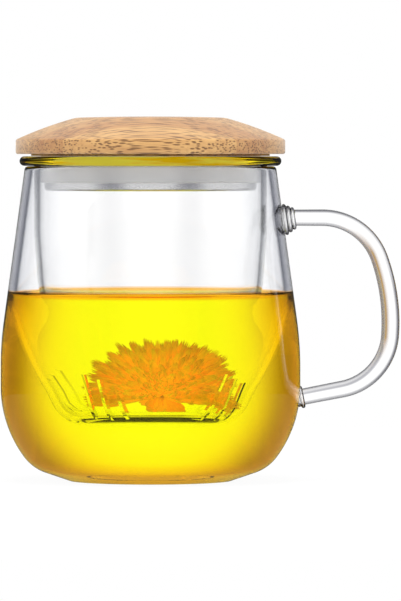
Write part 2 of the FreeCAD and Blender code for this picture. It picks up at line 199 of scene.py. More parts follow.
def blend_colours(nodes, links, factor, first, second, kind="MIX"):
    """One colour Mix node, from the first colour to the second; each is a socket or a colour."""
    made = nodes.new("ShaderNodeMix")
    made.data_type = "RGBA"
    made.blend_type = kind
    for socket, item in zip((made.inputs[0], made.inputs[6], made.inputs[7]), (factor, first, second)):
        if isinstance(item, bpy.types.NodeSocket):
            links.new(item, socket)
        else:
            socket.default_value = item
    return made.outputs[2]


def maths(nodes, links, operation, first, second=0.0):
    """One Math node on two values, each a socket or a number."""
    made = nodes.new("ShaderNodeMath")
    made.operation = operation
    for socket, item in zip(made.inputs, (first, second)):
        if isinstance(item, (int, float)):
            socket.default_value = item
        else:
            links.new(item, socket)
    return made.outputs[0]


def painted(nodes, name):
    """The value that a mesh carries under this name."""
    made = nodes.new("ShaderNodeAttribute")
    made.attribute_name = name
    return made.outputs["Fac"]


def carried(nodes, links, value, start, end=(0, 1), smooth=False):
    """A value carried from the range start to the range end, straight or with soft ends."""
    made = nodes.new("ShaderNodeMapRange")
    made.interpolation_type = "SMOOTHSTEP" if smooth else "LINEAR"
    made.inputs["From Min"].default_value = start[0]
    made.inputs["From Max"].default_value = start[1]
    made.inputs["To Min"].default_value = end[0]
    made.inputs["To Max"].default_value = end[1]
    links.new(value, made.inputs["Value"])
    return made.outputs["Result"]


def painted_slant_shade(nodes, links, stops):
    """Painted shade of a glass wall by how it is seen, from 0, square on, to 1, edge on, put into the tint
    of its glass. On pieces with an outside and an inside, only the outside has it."""
    slant = nodes.new("ShaderNodeLayerWeight")
    slant.inputs["Blend"].default_value = 0.5
    ramp = nodes.new("ShaderNodeValToRGB")
    marks = ramp.color_ramp.elements
    marks[0].position, marks[0].color = stops[0][0], (*stops[0][1:], 1)
    marks[1].position, marks[1].color = stops[-1][0], (*stops[-1][1:], 1)
    for place, *colour in stops[1:-1]:
        marks.new(place).color = (*colour, 1)
    links.new(slant.outputs["Facing"], ramp.inputs["Fac"])
    return blend_colours(nodes, links, painted(nodes, "outside"), WHITE, ramp.outputs["Color"])


side_run, side_rise = MUG_RADIUS - HEEL[0], BELLY_LOW - HEEL[1]
side_bend = (side_run ** 2 + side_rise ** 2) / (2 * side_run)
shoulder_rise = SHOULDER_HEIGHT - BELLY_HIGH
shoulder_bend = (shoulder_rise ** 2 + SHOULDER_IN ** 2) / (2 * SHOULDER_IN)
shoulder = (MUG_RADIUS - SHOULDER_IN, SHOULDER_HEIGHT)
rim_level = MUG_HEIGHT - MUG_WALL / 2
mug_outside = join(
    line((FOOT_RADIUS, 0), SKIRT, 6),
    arc(SKIRT, HEEL, HEEL_BEND, 10),
    arc(HEEL, (MUG_RADIUS, BELLY_LOW), side_bend, 20),
    line((MUG_RADIUS, BELLY_LOW), (MUG_RADIUS, BELLY_HIGH), 4),
    arc((MUG_RADIUS, BELLY_HIGH), shoulder, shoulder_bend, 8),
    line(shoulder, (MOUTH_RADIUS, rim_level), 24))
mug_inside = offset(mug_outside, MUG_WALL)
mug_inside = mug_inside[(mug_inside[:, 1] > MUG_BOTTOM) & (mug_inside[:, 0] > FOOT_RADIUS)]
mug_inside = join([(0, MUG_BOTTOM), (12, MUG_BOTTOM), (FOOT_RADIUS - 1, MUG_BOTTOM)], mug_inside)
mug_outline = join(
    [(0, 0), (12, 0)], mug_outside,
    arc(mug_outside[-1], (MOUTH_RADIUS - MUG_WALL, rim_level), MUG_WALL / 2, 10),
    mug_inside[::-1])
mug_sides = np.arange(len(mug_outline))[:, None] < len(mug_outside) + 2
mug = turned("mug", mug_outline, 256, sharp=50, paint=("outside", mug_sides))
mug_glass, nodes, links, shader = glass("mug_glass", GLASS_IOR)
empty_wall_shade = painted_slant_shade(nodes, links, EMPTY_WALL_SHADE)
filled_wall_shade = painted_slant_shade(nodes, links, FILLED_WALL_SHADE)
place = nodes.new("ShaderNodeTexCoord")
split = nodes.new("ShaderNodeSeparateXYZ")
links.new(place.outputs["Object"], split.inputs[0])
level = maths(nodes, links, "DIVIDE", split.outputs["Z"], MM)
near_brim = carried(nodes, links, level, BRIM_BAND)
# Painted shade along the tea's edge: a band of darker orange in the wall's tint.
brim_shaded = blend_colours(nodes, links, near_brim, filled_wall_shade, BRIM_SHADE)
above_tea = carried(nodes, links, level, DRY_BAND)
wall_colour = blend_colours(nodes, links, above_tea, brim_shaded, empty_wall_shade)
links.new(wall_colour, shader.inputs["Base Color"])
mug.data.materials.append(mug_glass)
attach(mug, "mug")
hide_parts("mug_body")


# Handle: a drawn rod of clear glass, bent while soft, with its ends melted onto the wall: above in
# three ridges that stand square to the wall, below in one. The rod and its ends are one skin. The
# rod pipes light, and that is painted into its glass: painted shade draws its sides as dark lines,
# and a painted streak of the tea's amber, for the light it pipes, runs in its inner side.
HANDLE_TOP = 86.0
HANDLE_BOTTOM = 27.2
HANDLE_REACH = 78.5
HANDLE_WIDEST = 51.7
SIDE_BEND = 62.7
UPPER_BEND = 19.9
LOWER_BEND = 19.2
LOWER_SLOPE = math.radians(11)
ROD_WIDTHS = (5.2, 5.9, 5.3)
RIDGE = 1.3
UPPER_RIDGES = (5.1, 4.4, 3.7)
UPPER_DROP = 0.7
LOWER_RIDGES = (3.7,)
ROOT_DEPTH = 1.25
# Painted shade at the rod's edges by how it is seen, and a painted streak of the tea's amber for the light
# the rod pipes.
ROD_EDGE_SHADE = ((0.12, 1, 1, 1), (0.3, 0.5, 0.5, 0.52), (0.5, 0.12, 0.12, 0.13), (1, 0.05, 0.05, 0.05))
PAINTED_AMBER = (0.24, 0.10, 0.0, 1)
AMBER_TURN = 0.5
AMBER_WIDTH = 0.3
AMBER_RUN = (0.22, 0.34, 0.62, 0.72)

side_centre = np.array([HANDLE_REACH - SIDE_BEND, HANDLE_WIDEST])
upper_level = HANDLE_TOP - UPPER_BEND
upper_across = math.sqrt((SIDE_BEND - UPPER_BEND) ** 2 - (upper_level - HANDLE_WIDEST) ** 2)
upper_centre = side_centre + (upper_across, upper_level - HANDLE_WIDEST)
upper_wall = np.interp((HANDLE_TOP, HANDLE_TOP - UPPER_DROP), *mug_outside[-24:, ::-1].T)
lower_wall = np.interp(HANDLE_BOTTOM, *mug_outside[16:36, ::-1].T)
wall_lean = math.atan2(shoulder[0] - MOUTH_RADIUS, rim_level - SHOULDER_HEIGHT)
along = np.array([math.cos(LOWER_SLOPE), math.sin(LOWER_SLOPE)])
above = np.array([-along[1], along[0]])
lower_end = np.array([lower_wall, HANDLE_BOTTOM]) - along * ROOT_DEPTH
lifted = lower_end + above * LOWER_BEND - side_centre
inward = lifted @ along
run = -inward + math.sqrt(inward ** 2 - lifted @ lifted + (SIDE_BEND - LOWER_BEND) ** 2)
lower_centre = side_centre + lifted + along * run
upper_meet = side_centre + (upper_centre - side_centre) * SIDE_BEND / (SIDE_BEND - UPPER_BEND)
lower_meet = side_centre + (lower_centre - side_centre) * SIDE_BEND / (SIDE_BEND - LOWER_BEND)
upper_start = np.array([upper_wall[0] - ROOT_DEPTH, HANDLE_TOP])
rod_path = join(
    line(upper_start, upper_start + (6.5, 0), 80),
    line(upper_start + (6.5, 0), (upper_centre[0], HANDLE_TOP), 6),
    arc((upper_centre[0], HANDLE_TOP), upper_meet, -UPPER_BEND, 28),
    arc(upper_meet, lower_meet, -SIDE_BEND, 28),
    arc(lower_meet, lower_end + along * run, -LOWER_BEND, 28),
    line(lower_end + along * run, lower_end + along * 3.5, 8),
    line(lower_end + along * 3.5, lower_end, 44))
heading = np.gradient(rod_path, axis=0)
heading /= np.hypot(*heading.T)[:, None]
rod_turn = np.linspace(0, 2 * math.pi, 56, endpoint=False)


def melted(foot, lean, ridges):
    """Radius off the rod's path to ridges of half-round section, for each step and turn.

    The ridges are turned about a line from foot that rises by lean. For a turn t, the point at
    radius r off the path lies at a depth along that line and at a distance from it, both linear
    parts of r; r is the root that puts the distance at the ridge's radius for that depth.
    """
    line_way = np.array([math.cos(lean), math.sin(lean)])
    line_up = np.array([-line_way[1], line_way[0]])
    up = np.stack([-heading[:, 1], heading[:, 0]], 1)
    depth = ((rod_path - foot) @ line_way)[:, None]
    height = ((rod_path - foot) @ line_up)[:, None]
    depth_part = np.outer(up @ line_way, np.cos(rod_turn))
    height_part = np.outer(up @ line_up, np.cos(rod_turn))
    square = height_part ** 2 + np.sin(rod_turn) ** 2
    radius = np.full(depth_part.shape, ridges[0])
    for _ in range(12):
        at = depth + radius * depth_part
        number = np.clip((at / RIDGE).astype(int), 0, len(ridges) - 1)
        from_crest = np.where(at < 0, RIDGE / 2, at - (number + 0.5) * RIDGE)
        bulge = np.sqrt(np.clip((RIDGE / 2) ** 2 - from_crest ** 2, 0, None))
        wanted = np.array(ridges)[number] - RIDGE / 2 + bulge
        half = height * height_part
        rest = np.clip(half ** 2 - square * (height ** 2 - wanted ** 2), 0, None)
        radius = (np.sqrt(rest) - half) / square
    inside = (at > -3) & (at < len(ridges) * RIDGE) & (np.abs(height) < 3)
    return np.where(inside, radius, 0)


travel = np.concatenate([[0], np.cumsum(np.hypot(*np.diff(rod_path, axis=0).T))])
widest = travel[np.argmax(rod_path[:, 0])]
rod_radius = np.interp(travel, [0, widest, travel[-1]], np.array(ROD_WIDTHS) / 2)[:, None]
upper_foot = (upper_wall[1], HANDLE_TOP - UPPER_DROP)
rod_radius = np.maximum(rod_radius, melted(upper_foot, wall_lean, UPPER_RIDGES))
rod_radius = np.maximum(rod_radius, melted((lower_wall, HANDLE_BOTTOM), LOWER_SLOPE, LOWER_RIDGES))
sideways = rod_radius * np.cos(rod_turn)
rod_grid = np.stack([rod_path[:, :1] - heading[:, 1:] * sideways, rod_radius * np.sin(rod_turn),
                     rod_path[:, 1:] + heading[:, :1] * sideways], -1)
rod_ends = np.stack([rod_path[:, 0], np.zeros(len(rod_path)), rod_path[:, 1]], -1)[[0, -1]]
rod_ends = np.repeat(rod_ends[:, None], len(rod_turn), 1)
rod_grid = np.concatenate([rod_ends[:1], rod_grid, rod_ends[1:]])
# The amber streak is painted light: the tea's colour piped along the rod, put into its glass's tint.
from_amber = (-np.cos(rod_turn) - AMBER_TURN) / AMBER_WIDTH
path_share = np.interp(travel / travel[-1], AMBER_RUN, (0, 1, 1, 0))
amber = np.outer(np.pad(path_share, 1), np.exp(-from_amber ** 2))
handle = skin("handle", rod_grid, closed_columns=True, sharp=60, paint=("outside", 1 - amber))
handle_glass, nodes, links, shader = glass("handle_glass", GLASS_IOR)
rod_shade = painted_slant_shade(nodes, links, ROD_EDGE_SHADE)
streaked_glass = blend_colours(nodes, links, painted(nodes, "outside"), PAINTED_AMBER, rod_shade)
links.new(streaked_glass, shader.inputs["Base Color"])
handle.data.materials.append(handle_glass)
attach(handle, "mug")
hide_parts("handle_rod", "handle_upper_collar", "handle_lower_collar")


# Tea: what the mug holds in use. Its skin lies a hair inside the glass wall, so that no air film
# shows between them, and its top climbs the wall in a small meniscus.
TEA_OVERLAP = 0.12
MENISCUS_RISE = 1.4
MENISCUS_REACH = 1.5
TEA_IOR = 1.33
TEA_YELLOW = (1.0, 1.0, 0.02, 1)
TEA_DENSITY = 90

wetted = offset(mug_inside, -TEA_OVERLAP)
wetted[0] = (0, MUG_BOTTOM - TEA_OVERLAP)
brim = TEA_LEVEL + MENISCUS_RISE
tea_edge = np.interp(brim, wetted[8:, 1], wetted[8:, 0])
fall = np.linspace(0, 6, 24)
tea_top = np.stack([tea_edge - fall, TEA_LEVEL + MENISCUS_RISE * np.exp(-fall / MENISCUS_REACH)], 1)
tea_outline = join(wetted[wetted[:, 1] < brim - 0.5], tea_top, [(0, TEA_LEVEL)])
tea = turned("tea", tea_outline, 256, sharp=60)
tea_liquid, nodes, links, shader = glass("tea_liquid", TEA_IOR, shine=0)
soak = nodes.new("ShaderNodeVolumeAbsorption")
soak.inputs["Color"].default_value = TEA_YELLOW
soak.inputs["Density"].default_value = TEA_DENSITY
links.new(soak.outputs["Volume"], nodes["Material Output"].inputs["Volume"])
tea.data.materials.append(tea_liquid)
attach(tea, "mug")


# Infuser: a glass cup with a straight neck, a taper and a round bowl, hung by its thick rounded
# flange. Groups of three parallel slits are sawn through the corner of the bowl.
SEAT_GAP = 0.15
NECK = MOUTH_RADIUS - MUG_WALL - 0.6
INFUSER_WALL = 1.7
INFUSER_FLOOR = 2.0
INFUSER_DEPTH = 80.85
STRAIGHT = 22.0
TAPER_DEPTH = 38.0
TAPER_IN = 1.2
BOWL_IN = 14.1
BOWL_RISE = 4.3
BOWL_BEND = 8.7
BOWL_SIDE_BEND = 105.0
BOWL_FLOOR_IN = 21.6
FLANGE_RADIUS = 42.8
FLANGE_THICK = 3.1
LIP_ROUND = 1.5
SLIT_GROUPS = 4
SLIT_AZIMUTH = math.radians(58.3)
SLIT_WIDTH = 1.0
SLIT_SPACING = 4.9
SLIT_INNER = 19.3
SLIT_OUTER = 40.0
SLIT_RISE = 12.0
SLIT_STEP = 1.5
WET_IOR = 1.1
FLANGE_IOR = 1.3
FLANGE_RIPPLE = (45, 45, 700)
# Painted light: the gold of the tea's colour that the flange's glass pipes to its edge.
FLANGE_PAINTED_GOLD = ((0.4, (0.90, 0.46, 0.0, 1)), (0.55, (1.0, 0.84, 0.02, 1)))
# Painted shade in the neck's tint, darkest where its wall is seen edge on.
NECK_WALL_SHADE = ((0.2, 1, 1, 1), (0.5, 0.97, 0.98, 1), (0.66, 0.86, 0.87, 0.89),
             (0.70, 0.11, 0.12, 0.13), (0.78, 0.36, 0.38, 0.39), (0.9, 0.5, 0.5, 0.5), (1, 0.7, 0.7, 0.7))


def stretched(nodes, links, scale):
    """The place on a piece, in metres, times a scale for each axis."""
    place = nodes.new("ShaderNodeTexCoord")
    made = nodes.new("ShaderNodeMapping")
    made.inputs["Scale"].default_value = scale
    links.new(place.outputs["Object"], made.inputs["Vector"])
    return made.outputs["Vector"]


def two_tones(nodes, links, value, low, high):
    """A colour that goes with a value from low to high, each a place and a colour."""
    made = nodes.new("ShaderNodeValToRGB")
    for mark, (place, colour) in zip(made.color_ramp.elements, (low, high)):
        mark.position = place
        mark.color = colour
    links.new(value, made.inputs["Fac"])
    return made.outputs["Color"]


flange_low = MUG_HEIGHT + SEAT_GAP
flange_top = flange_low + FLANGE_THICK
underside = flange_low - INFUSER_DEPTH
taper_level = flange_low - TAPER_DEPTH
bowl_top = (NECK - BOWL_IN, underside + BOWL_RISE)
bowl_side = arc(bowl_top, (NECK - TAPER_IN, taper_level), BOWL_SIDE_BEND, 40)
at_tea = np.interp(TEA_LEVEL, bowl_side[:, 1], bowl_side[:, 0])
below_tea = bowl_side[:, 1] < TEA_LEVEL
infuser_outside = join(
    line((0, underside), (NECK - BOWL_FLOOR_IN, underside), 3),
    arc((NECK - BOWL_FLOOR_IN, underside), bowl_top, BOWL_BEND, 12),
    bowl_side[below_tea], [(at_tea, TEA_LEVEL)], bowl_side[~below_tea],
    line((NECK - TAPER_IN, taper_level), (NECK, flange_low - STRAIGHT), 6),
    line((NECK, flange_low - STRAIGHT), (NECK, flange_low), 6))
neck_inner = NECK - INFUSER_WALL
infuser_inside = offset(infuser_outside, INFUSER_WALL)
infuser_inside = infuser_inside[infuser_inside[:, 1] < flange_low - 2]
infuser_inside[0, 0] = 0
flange_edge = FLANGE_RADIUS - FLANGE_THICK / 2
infuser_outline = join(
    infuser_outside,
    line((NECK, flange_low), (flange_edge, flange_low), 3),
    arc((flange_edge, flange_low), (flange_edge, flange_top), FLANGE_THICK / 2, 12),
    line((flange_edge, flange_top), (neck_inner + LIP_ROUND, flange_top), 3),
    arc((neck_inner + LIP_ROUND, flange_top), (neck_inner, flange_top - LIP_ROUND), LIP_ROUND, 6),
    infuser_inside[::-1])
infuser_sides = np.arange(len(infuser_outline))[:, None] < len(infuser_outside)
infuser = turned("infuser", infuser_outline, 192, sharp=40, paint=("outside", infuser_sides))

group, member = np.meshgrid(np.arange(SLIT_GROUPS), np.array([-1, 0, 1]), indexing="ij")
group, member = group.reshape(-1, 1), member.reshape(-1, 1)
outward, aside, upward = np.array([(a, b, c) for a in (0, 1) for b in (-0.5, 0.5) for c in (0, 1)]).T
slab_x = SLIT_INNER + outward * (SLIT_OUTER - SLIT_INNER)
slab_y = -member * SLIT_SPACING + aside * SLIT_WIDTH
slab_z = underside - 2 + upward * (SLIT_RISE + member * SLIT_STEP + 2)
spin = SLIT_AZIMUTH + group * 2 * math.pi / SLIT_GROUPS
slabs = np.stack([slab_x * np.cos(spin) - slab_y * np.sin(spin),
                  slab_x * np.sin(spin) + slab_y * np.cos(spin), slab_z], -1)
box_faces = np.array([(0, 1, 3, 2), (4, 6, 7, 5), (0, 4, 5, 1), (2, 3, 7, 6), (0, 2, 6, 4), (1, 5, 7, 3)])
slab_faces = (box_faces[None] + 8 * np.arange(len(slabs))[:, None, None]).reshape(-1, 4)
saw_mesh = bpy.data.meshes.new("saw")
saw_mesh.from_pydata((slabs.reshape(-1, 3) * MM).tolist(), [], slab_faces.tolist())
saw = finish_mesh("saw", saw_mesh)
cut = infuser.modifiers.new("slits", "BOOLEAN")
cut.operation = "DIFFERENCE"
cut.solver = "EXACT"
cut.object = saw
bpy.context.view_layer.update()
seen_cut = infuser.evaluated_get(bpy.context.evaluated_depsgraph_get())
infuser_mesh = bpy.data.meshes.new_from_object(seen_cut)
infuser.modifiers.clear()
infuser.data = infuser_mesh
bpy.data.objects.remove(saw)
infuser_mesh.polygons.foreach_set("use_smooth", np.ones(len(infuser_mesh.polygons), bool))
infuser_mesh.set_sharp_from_angle(angle=math.radians(40))

# Glass in tea bends light by the ratio of the two, so the part that stands in the tea has a
# material of its own. The flange has one too: its glass pipes the tea's colour up to its edge, and
# that light is painted into its tint as rippled gold.
dry_glass, nodes, links, shader = glass("infuser_glass_dry", GLASS_IOR)
# Painted shade in the dry glass's tint, by how the neck is seen.
links.new(painted_slant_shade(nodes, links, NECK_WALL_SHADE), shader.inputs["Base Color"])
wet_glass = glass("infuser_glass_wet", WET_IOR, shine=0)[0]
painted_gold_glass, nodes, links, shader = glass("infuser_glass_flange", FLANGE_IOR)
ripple = nodes.new("ShaderNodeTexNoise")
ripple.inputs["Scale"].default_value = 1
ripple.inputs["Detail"].default_value = 2
links.new(stretched(nodes, links, FLANGE_RIPPLE), ripple.inputs["Vector"])
links.new(two_tones(nodes, links, ripple.outputs["Fac"], *FLANGE_PAINTED_GOLD), shader.inputs["Base Color"])
infuser_mesh.materials.clear()
for kind_of_glass in (dry_glass, wet_glass, painted_gold_glass):
    infuser_mesh.materials.append(kind_of_glass)
centres = np.zeros(len(infuser_mesh.polygons) * 3)
infuser_mesh.polygons.foreach_get("center", centres)
centres = centres.reshape(-1, 3) / MM
from_axis = np.hypot(centres[:, 0], centres[:, 1])
kind = np.where(centres[:, 2] < TEA_LEVEL, 1, np.where(from_axis > NECK + 0.5, 2, 0))
infuser_mesh.polygons.foreach_set("material_index", kind.astype(np.int32))
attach(infuser, "infuser")
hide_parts("infuser_glass")


# Flower: a double marigold head that lies on its stem in the bowl. Each petal is a thin cupped
# strap with a toothed tip; most fan out from the heart to fill a dome, and a few hang down in front.
FLOWER_HEART = np.array([2.8, -3.0, 29.4])
DOME = (18.6, 12.5, 15.6)
DOME_FULLNESS = 2.7
DOME_PETALS = 620
HANGING_PETALS = 9
PETAL_ROWS = 9
PETAL_COLUMNS = 7
PETAL_THICK = 0.16
PETAL_SWEEP = (-12, 192)
PETAL_LEAN = (-35, 80)
PETAL_REACH = (0.72, 1.04)
PETAL_WIDTH = (2.2, 3.5)
HANGING_SWEEP = (-158, -28)
HANGING_LEAN = (20, 50)
HANGING_REACH = (6.5, 9.5)
HANGING_WIDTH = 4.2
PETAL_TONES = ((0, (0.93, 0.42, 0.01, 1)), (1, (1.0, 0.60, 0.04, 1)))
HEART_SHADE = ((0.05, (0.22, 0.02, 0.0, 1)), (0.3, WHITE))
PETAL_GLOW = 0.3
chance = np.random.default_rng(11)

count = DOME_PETALS + HANGING_PETALS
sweep = np.radians(chance.uniform(*PETAL_SWEEP, count))
lean = np.radians(chance.uniform(*PETAL_LEAN, count))
hangs = np.arange(count) >= DOME_PETALS
sweep[hangs] = np.radians(np.linspace(*HANGING_SWEEP, HANGING_PETALS))
lean[hangs] = np.radians(chance.uniform(*HANGING_LEAN, HANGING_PETALS))
way = np.stack([np.cos(sweep) * np.cos(lean), -np.sin(lean), np.sin(sweep) * np.cos(lean)], -1)
reach = (np.abs(way / DOME) ** DOME_FULLNESS).sum(-1) ** (-1 / DOME_FULLNESS)
reach = reach * chance.uniform(*PETAL_REACH, count)
reach = np.where(hangs, chance.uniform(*HANGING_REACH, count), reach)
aside = np.cross(way, chance.normal(size=(count, 3)) * 0.3 + np.array([0, -1, 0.3]))
aside /= np.linalg.norm(aside, axis=-1)[:, None]
lift = np.cross(aside, way)
width = np.where(hangs, HANGING_WIDTH, chance.uniform(*PETAL_WIDTH, count))

# At a share s of its length and a place u across it, from -1 to 1, a petal's point lies s times its
# reach along its way, u half widths aside, and off its plane by a curl with s squared, a cup with
# u squared times s, and a crease with the cosine of 2.5 pi u, times s.
share = np.linspace(0, 1, PETAL_ROWS)[None, :, None]
across = np.linspace(-1, 1, PETAL_COLUMNS)[None, None, :]
half = width[:, None, None] / 2 * (0.25 + 0.75 * share ** 0.7) * (1 - 0.45 * share ** 8)
teeth = 1 + 0.05 * share ** 6 * np.cos(3 * math.pi * across) - 0.05 * share ** 6 * across ** 2
out = reach[:, None, None] * share * teeth
curl = chance.uniform(-0.14, 0.10, count)[:, None, None] * reach[:, None, None] * share ** 2
cup = width[:, None, None] * chance.uniform(0.08, 0.3, count)[:, None, None] * across ** 2 * share
crease = 0.06 * width[:, None, None] * np.cos(2.5 * math.pi * across) * share
petals = (FLOWER_HEART + out[..., None] * way[:, None, None]
          + (half * across)[..., None] * aside[:, None, None]
          + (curl + cup + crease)[..., None] * lift[:, None, None])
petals[..., 2] = np.maximum(petals[..., 2], underside + INFUSER_FLOOR + 0.3)
cell = np.arange(PETAL_ROWS * PETAL_COLUMNS).reshape(PETAL_ROWS, PETAL_COLUMNS)
strap = np.stack([cell[:-1, :-1], cell[1:, :-1], cell[1:, 1:], cell[:-1, 1:]], -1).reshape(-1, 4)
petal_faces = (strap[None] + cell.size * np.arange(count)[:, None, None]).reshape(-1, 4)
flower_mesh = bpy.data.meshes.new("flower")
flower_mesh.from_pydata((petals.reshape(-1, 3) * MM).tolist(), [], petal_faces.tolist())
flower_mesh.polygons.foreach_set("use_smooth", np.ones(len(flower_mesh.polygons), bool))
tone = flower_mesh.attributes.new("tone", "FLOAT", "POINT")
tone.data.foreach_set("value", np.repeat(chance.uniform(0, 1, count), cell.size))
petal_share = flower_mesh.attributes.new("share", "FLOAT", "POINT")
petal_share.data.foreach_set("value", np.tile(np.repeat(share.ravel(), PETAL_COLUMNS), count))
flower = bpy.data.objects.new("flower", flower_mesh)
bpy.context.scene.collection.objects.link(flower)
thick = flower.modifiers.new("thickness", "SOLIDIFY")
thick.thickness = PETAL_THICK * MM

petal_paint, nodes, links, shader = new_material("petals")
shader.inputs["Roughness"].default_value = 0.6
tones = two_tones(nodes, links, painted(nodes, "tone"), *PETAL_TONES)
heart = two_tones(nodes, links, painted(nodes, "share"), *HEART_SHADE)
petal_colour = blend_colours(nodes, links, 1, tones, heart, "MULTIPLY")
links.new(petal_colour, shader.inputs["Base Color"])
# The petals glow a little: painted light, for light that the glass round them holds back.
links.new(petal_colour, shader.inputs["Emission Color"])
shader.inputs["Emission Strength"].default_value = PETAL_GLOW
flower.data.materials.append(petal_paint)
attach(flower, "infuser")


# Lid: a board glued from seven bamboo strips that run from side to side, turned to a disc with a
# low crown, and sanded. Each strip is the turned disc cut at its two glue lines.
LID_RADIUS = 44.05
LID_PLUG_RADIUS = 39.0
LID_PLUG = 0.6
LID_SIDE = 5.0
LID_EDGE = 0.7
LID_CROWN = 6.5
LID_TOP_RADIUS = 25.7
LID_TOP_SOFT = 2.4
LID_TOP_RISE = 0.4
LID_TOP_DOME = 0.35
BOARD_TRIM = 1.8
STRIP_SHIFT = -1.3
STRIPS = 7
STRIP_TONES = (0.34, 0.16, 0.30, 0.40, 0.22, 0.34, 0.20)
SEAL_THICK = 2.2
SEAL_CLEARANCE = 0.3
PAN_SOCKET = 2.0
SHEET = 0.6
FIT = 0.05
BAMBOO_TONES = ((0.35, (0.30, 0.125, 0.04, 1)), (0.85, (0.53, 0.315, 0.115, 1)))
FIBRE = (0.10, 0.04, 0.012, 1)
FIBRE_DEPTH = 0.9
FIBRE_SCALE = (95, 1500, 1500)
FIBRE_SIZE = (0.22, 0.5)
STREAK_SCALE = (18, 420, 420)
STREAK_SHARE = 0.7

lid_seat = flange_top + SEAT_GAP
side_low = lid_seat + LID_PLUG
side_top = side_low + LID_SIDE
crown_top = side_top + LID_CROWN
top_edge = crown_top + LID_TOP_RISE
flat_radius = LID_TOP_RADIUS - LID_TOP_SOFT
dome_bend = (flat_radius ** 2 + LID_TOP_DOME ** 2) / (2 * LID_TOP_DOME)
pan_wall = neck_inner - SEAL_CLEARANCE - SEAL_THICK
socket_top = lid_seat + PAN_SOCKET
lid_outline = join(
    [(0, lid_seat), (pan_wall - SHEET - FIT, lid_seat), (pan_wall - SHEET - FIT, socket_top),
     (pan_wall + FIT, socket_top), (pan_wall + FIT, lid_seat),
     (LID_PLUG_RADIUS, lid_seat), (LID_PLUG_RADIUS, side_low)],
    arc((LID_RADIUS - LID_EDGE, side_low), (LID_RADIUS, side_low + LID_EDGE), LID_EDGE, 5),
    arc((LID_RADIUS, side_top - LID_EDGE), (LID_RADIUS - LID_EDGE, side_top), 2 * LID_EDGE, 5),
    arc((LID_RADIUS - LID_EDGE, side_top), (LID_TOP_RADIUS, crown_top), 125, 14),
    arc((LID_TOP_RADIUS, crown_top), (flat_radius, top_edge), 10.5, 6),
    arc((flat_radius, top_edge), (0, top_edge + LID_TOP_DOME), dome_bend, 12))
disc = turned("disc", lid_outline, 256)
disc_shape = bmesh.new()
disc_shape.from_mesh(disc.data)
bpy.data.objects.remove(disc)

bamboo, nodes, links, shader = new_material("bamboo")
fibres = nodes.new("ShaderNodeTexVoronoi")
fibres.inputs["Scale"].default_value = 1
fibres.inputs["Randomness"].default_value = 0.8
links.new(stretched(nodes, links, FIBRE_SCALE), fibres.inputs["Vector"])
dots = carried(nodes, links, fibres.outputs["Distance"], FIBRE_SIZE, (1, 0), smooth=True)
streaks = nodes.new("ShaderNodeTexNoise")
streaks.inputs["Scale"].default_value = 1
streaks.inputs["Detail"].default_value = 5
streaks.inputs["Roughness"].default_value = 0.65
links.new(stretched(nodes, links, STREAK_SCALE), streaks.inputs["Vector"])
streaked = maths(nodes, links, "MULTIPLY", streaks.outputs["Fac"], STREAK_SHARE)
streaked = maths(nodes, links, "ADD", streaked, painted(nodes, "tone"))
ground = two_tones(nodes, links, streaked, *BAMBOO_TONES)
darkened = maths(nodes, links, "MULTIPLY", dots, FIBRE_DEPTH)
links.new(blend_colours(nodes, links, darkened, ground, FIBRE), shader.inputs["Base Color"])
bump = nodes.new("ShaderNodeBump")
bump.invert = True
bump.inputs["Strength"].default_value = 0.25
bump.inputs["Distance"].default_value = 0.0002
links.new(dots, bump.inputs["Height"])
links.new(bump.outputs["Normal"], shader.inputs["Normal"])
shader.inputs["Roughness"].default_value = 0.55
shader.inputs["Sheen Weight"].default_value = 0.35
shader.inputs["Sheen Roughness"].default_value = 0.5

strip_width = 2 * (LID_RADIUS + BOARD_TRIM) / STRIPS
for number in range(STRIPS):
    near = STRIP_SHIFT + (number - STRIPS / 2) * strip_width
    shape = disc_shape.copy()
    joints = [(near, False)] * (number > 0) + [(near + strip_width, True)] * (number < STRIPS - 1)
    for level, keep_near in joints:
        parts = shape.verts[:] + shape.edges[:] + shape.faces[:]
        sawn = bmesh.ops.bisect_plane(shape, geom=parts, plane_co=(0, level * MM, 0),
                                      plane_no=(0, 1, 0), clear_outer=keep_near,
                                      clear_inner=not keep_near)
        rim = [item for item in sawn["geom_cut"] if isinstance(item, bmesh.types.BMEdge)]
        bmesh.ops.triangle_fill(shape, edges=rim, use_beauty=True, use_dissolve=False)
    strip_mesh = bpy.data.meshes.new("bamboo_strip_%d" % (number + 1))
    shape.to_mesh(strip_mesh)
    shape.free()
    strip = finish_mesh(strip_mesh.name, strip_mesh)
    tone = strip_mesh.attributes.new("tone", "FLOAT", "POINT")
    tone.data.foreach_set("value", np.full(len(strip_mesh.vertices), STRIP_TONES[number]))
    strip.data.materials.append(bamboo)
    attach(strip, "lid")
    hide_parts("lid_strip_%d" % (number + 1))
disc_shape.free()


# Pan: a shallow cup spun from stainless steel sheet, glued by its edge into a groove of the board,
# with a wider closed end that holds the seal up.
SEAL_HEIGHT = 8.9
BAND = 2.6
BAND_IN = 1.4
PAN_CORNER = 1.2
STEEL = (0.62, 0.62, 0.63, 1)

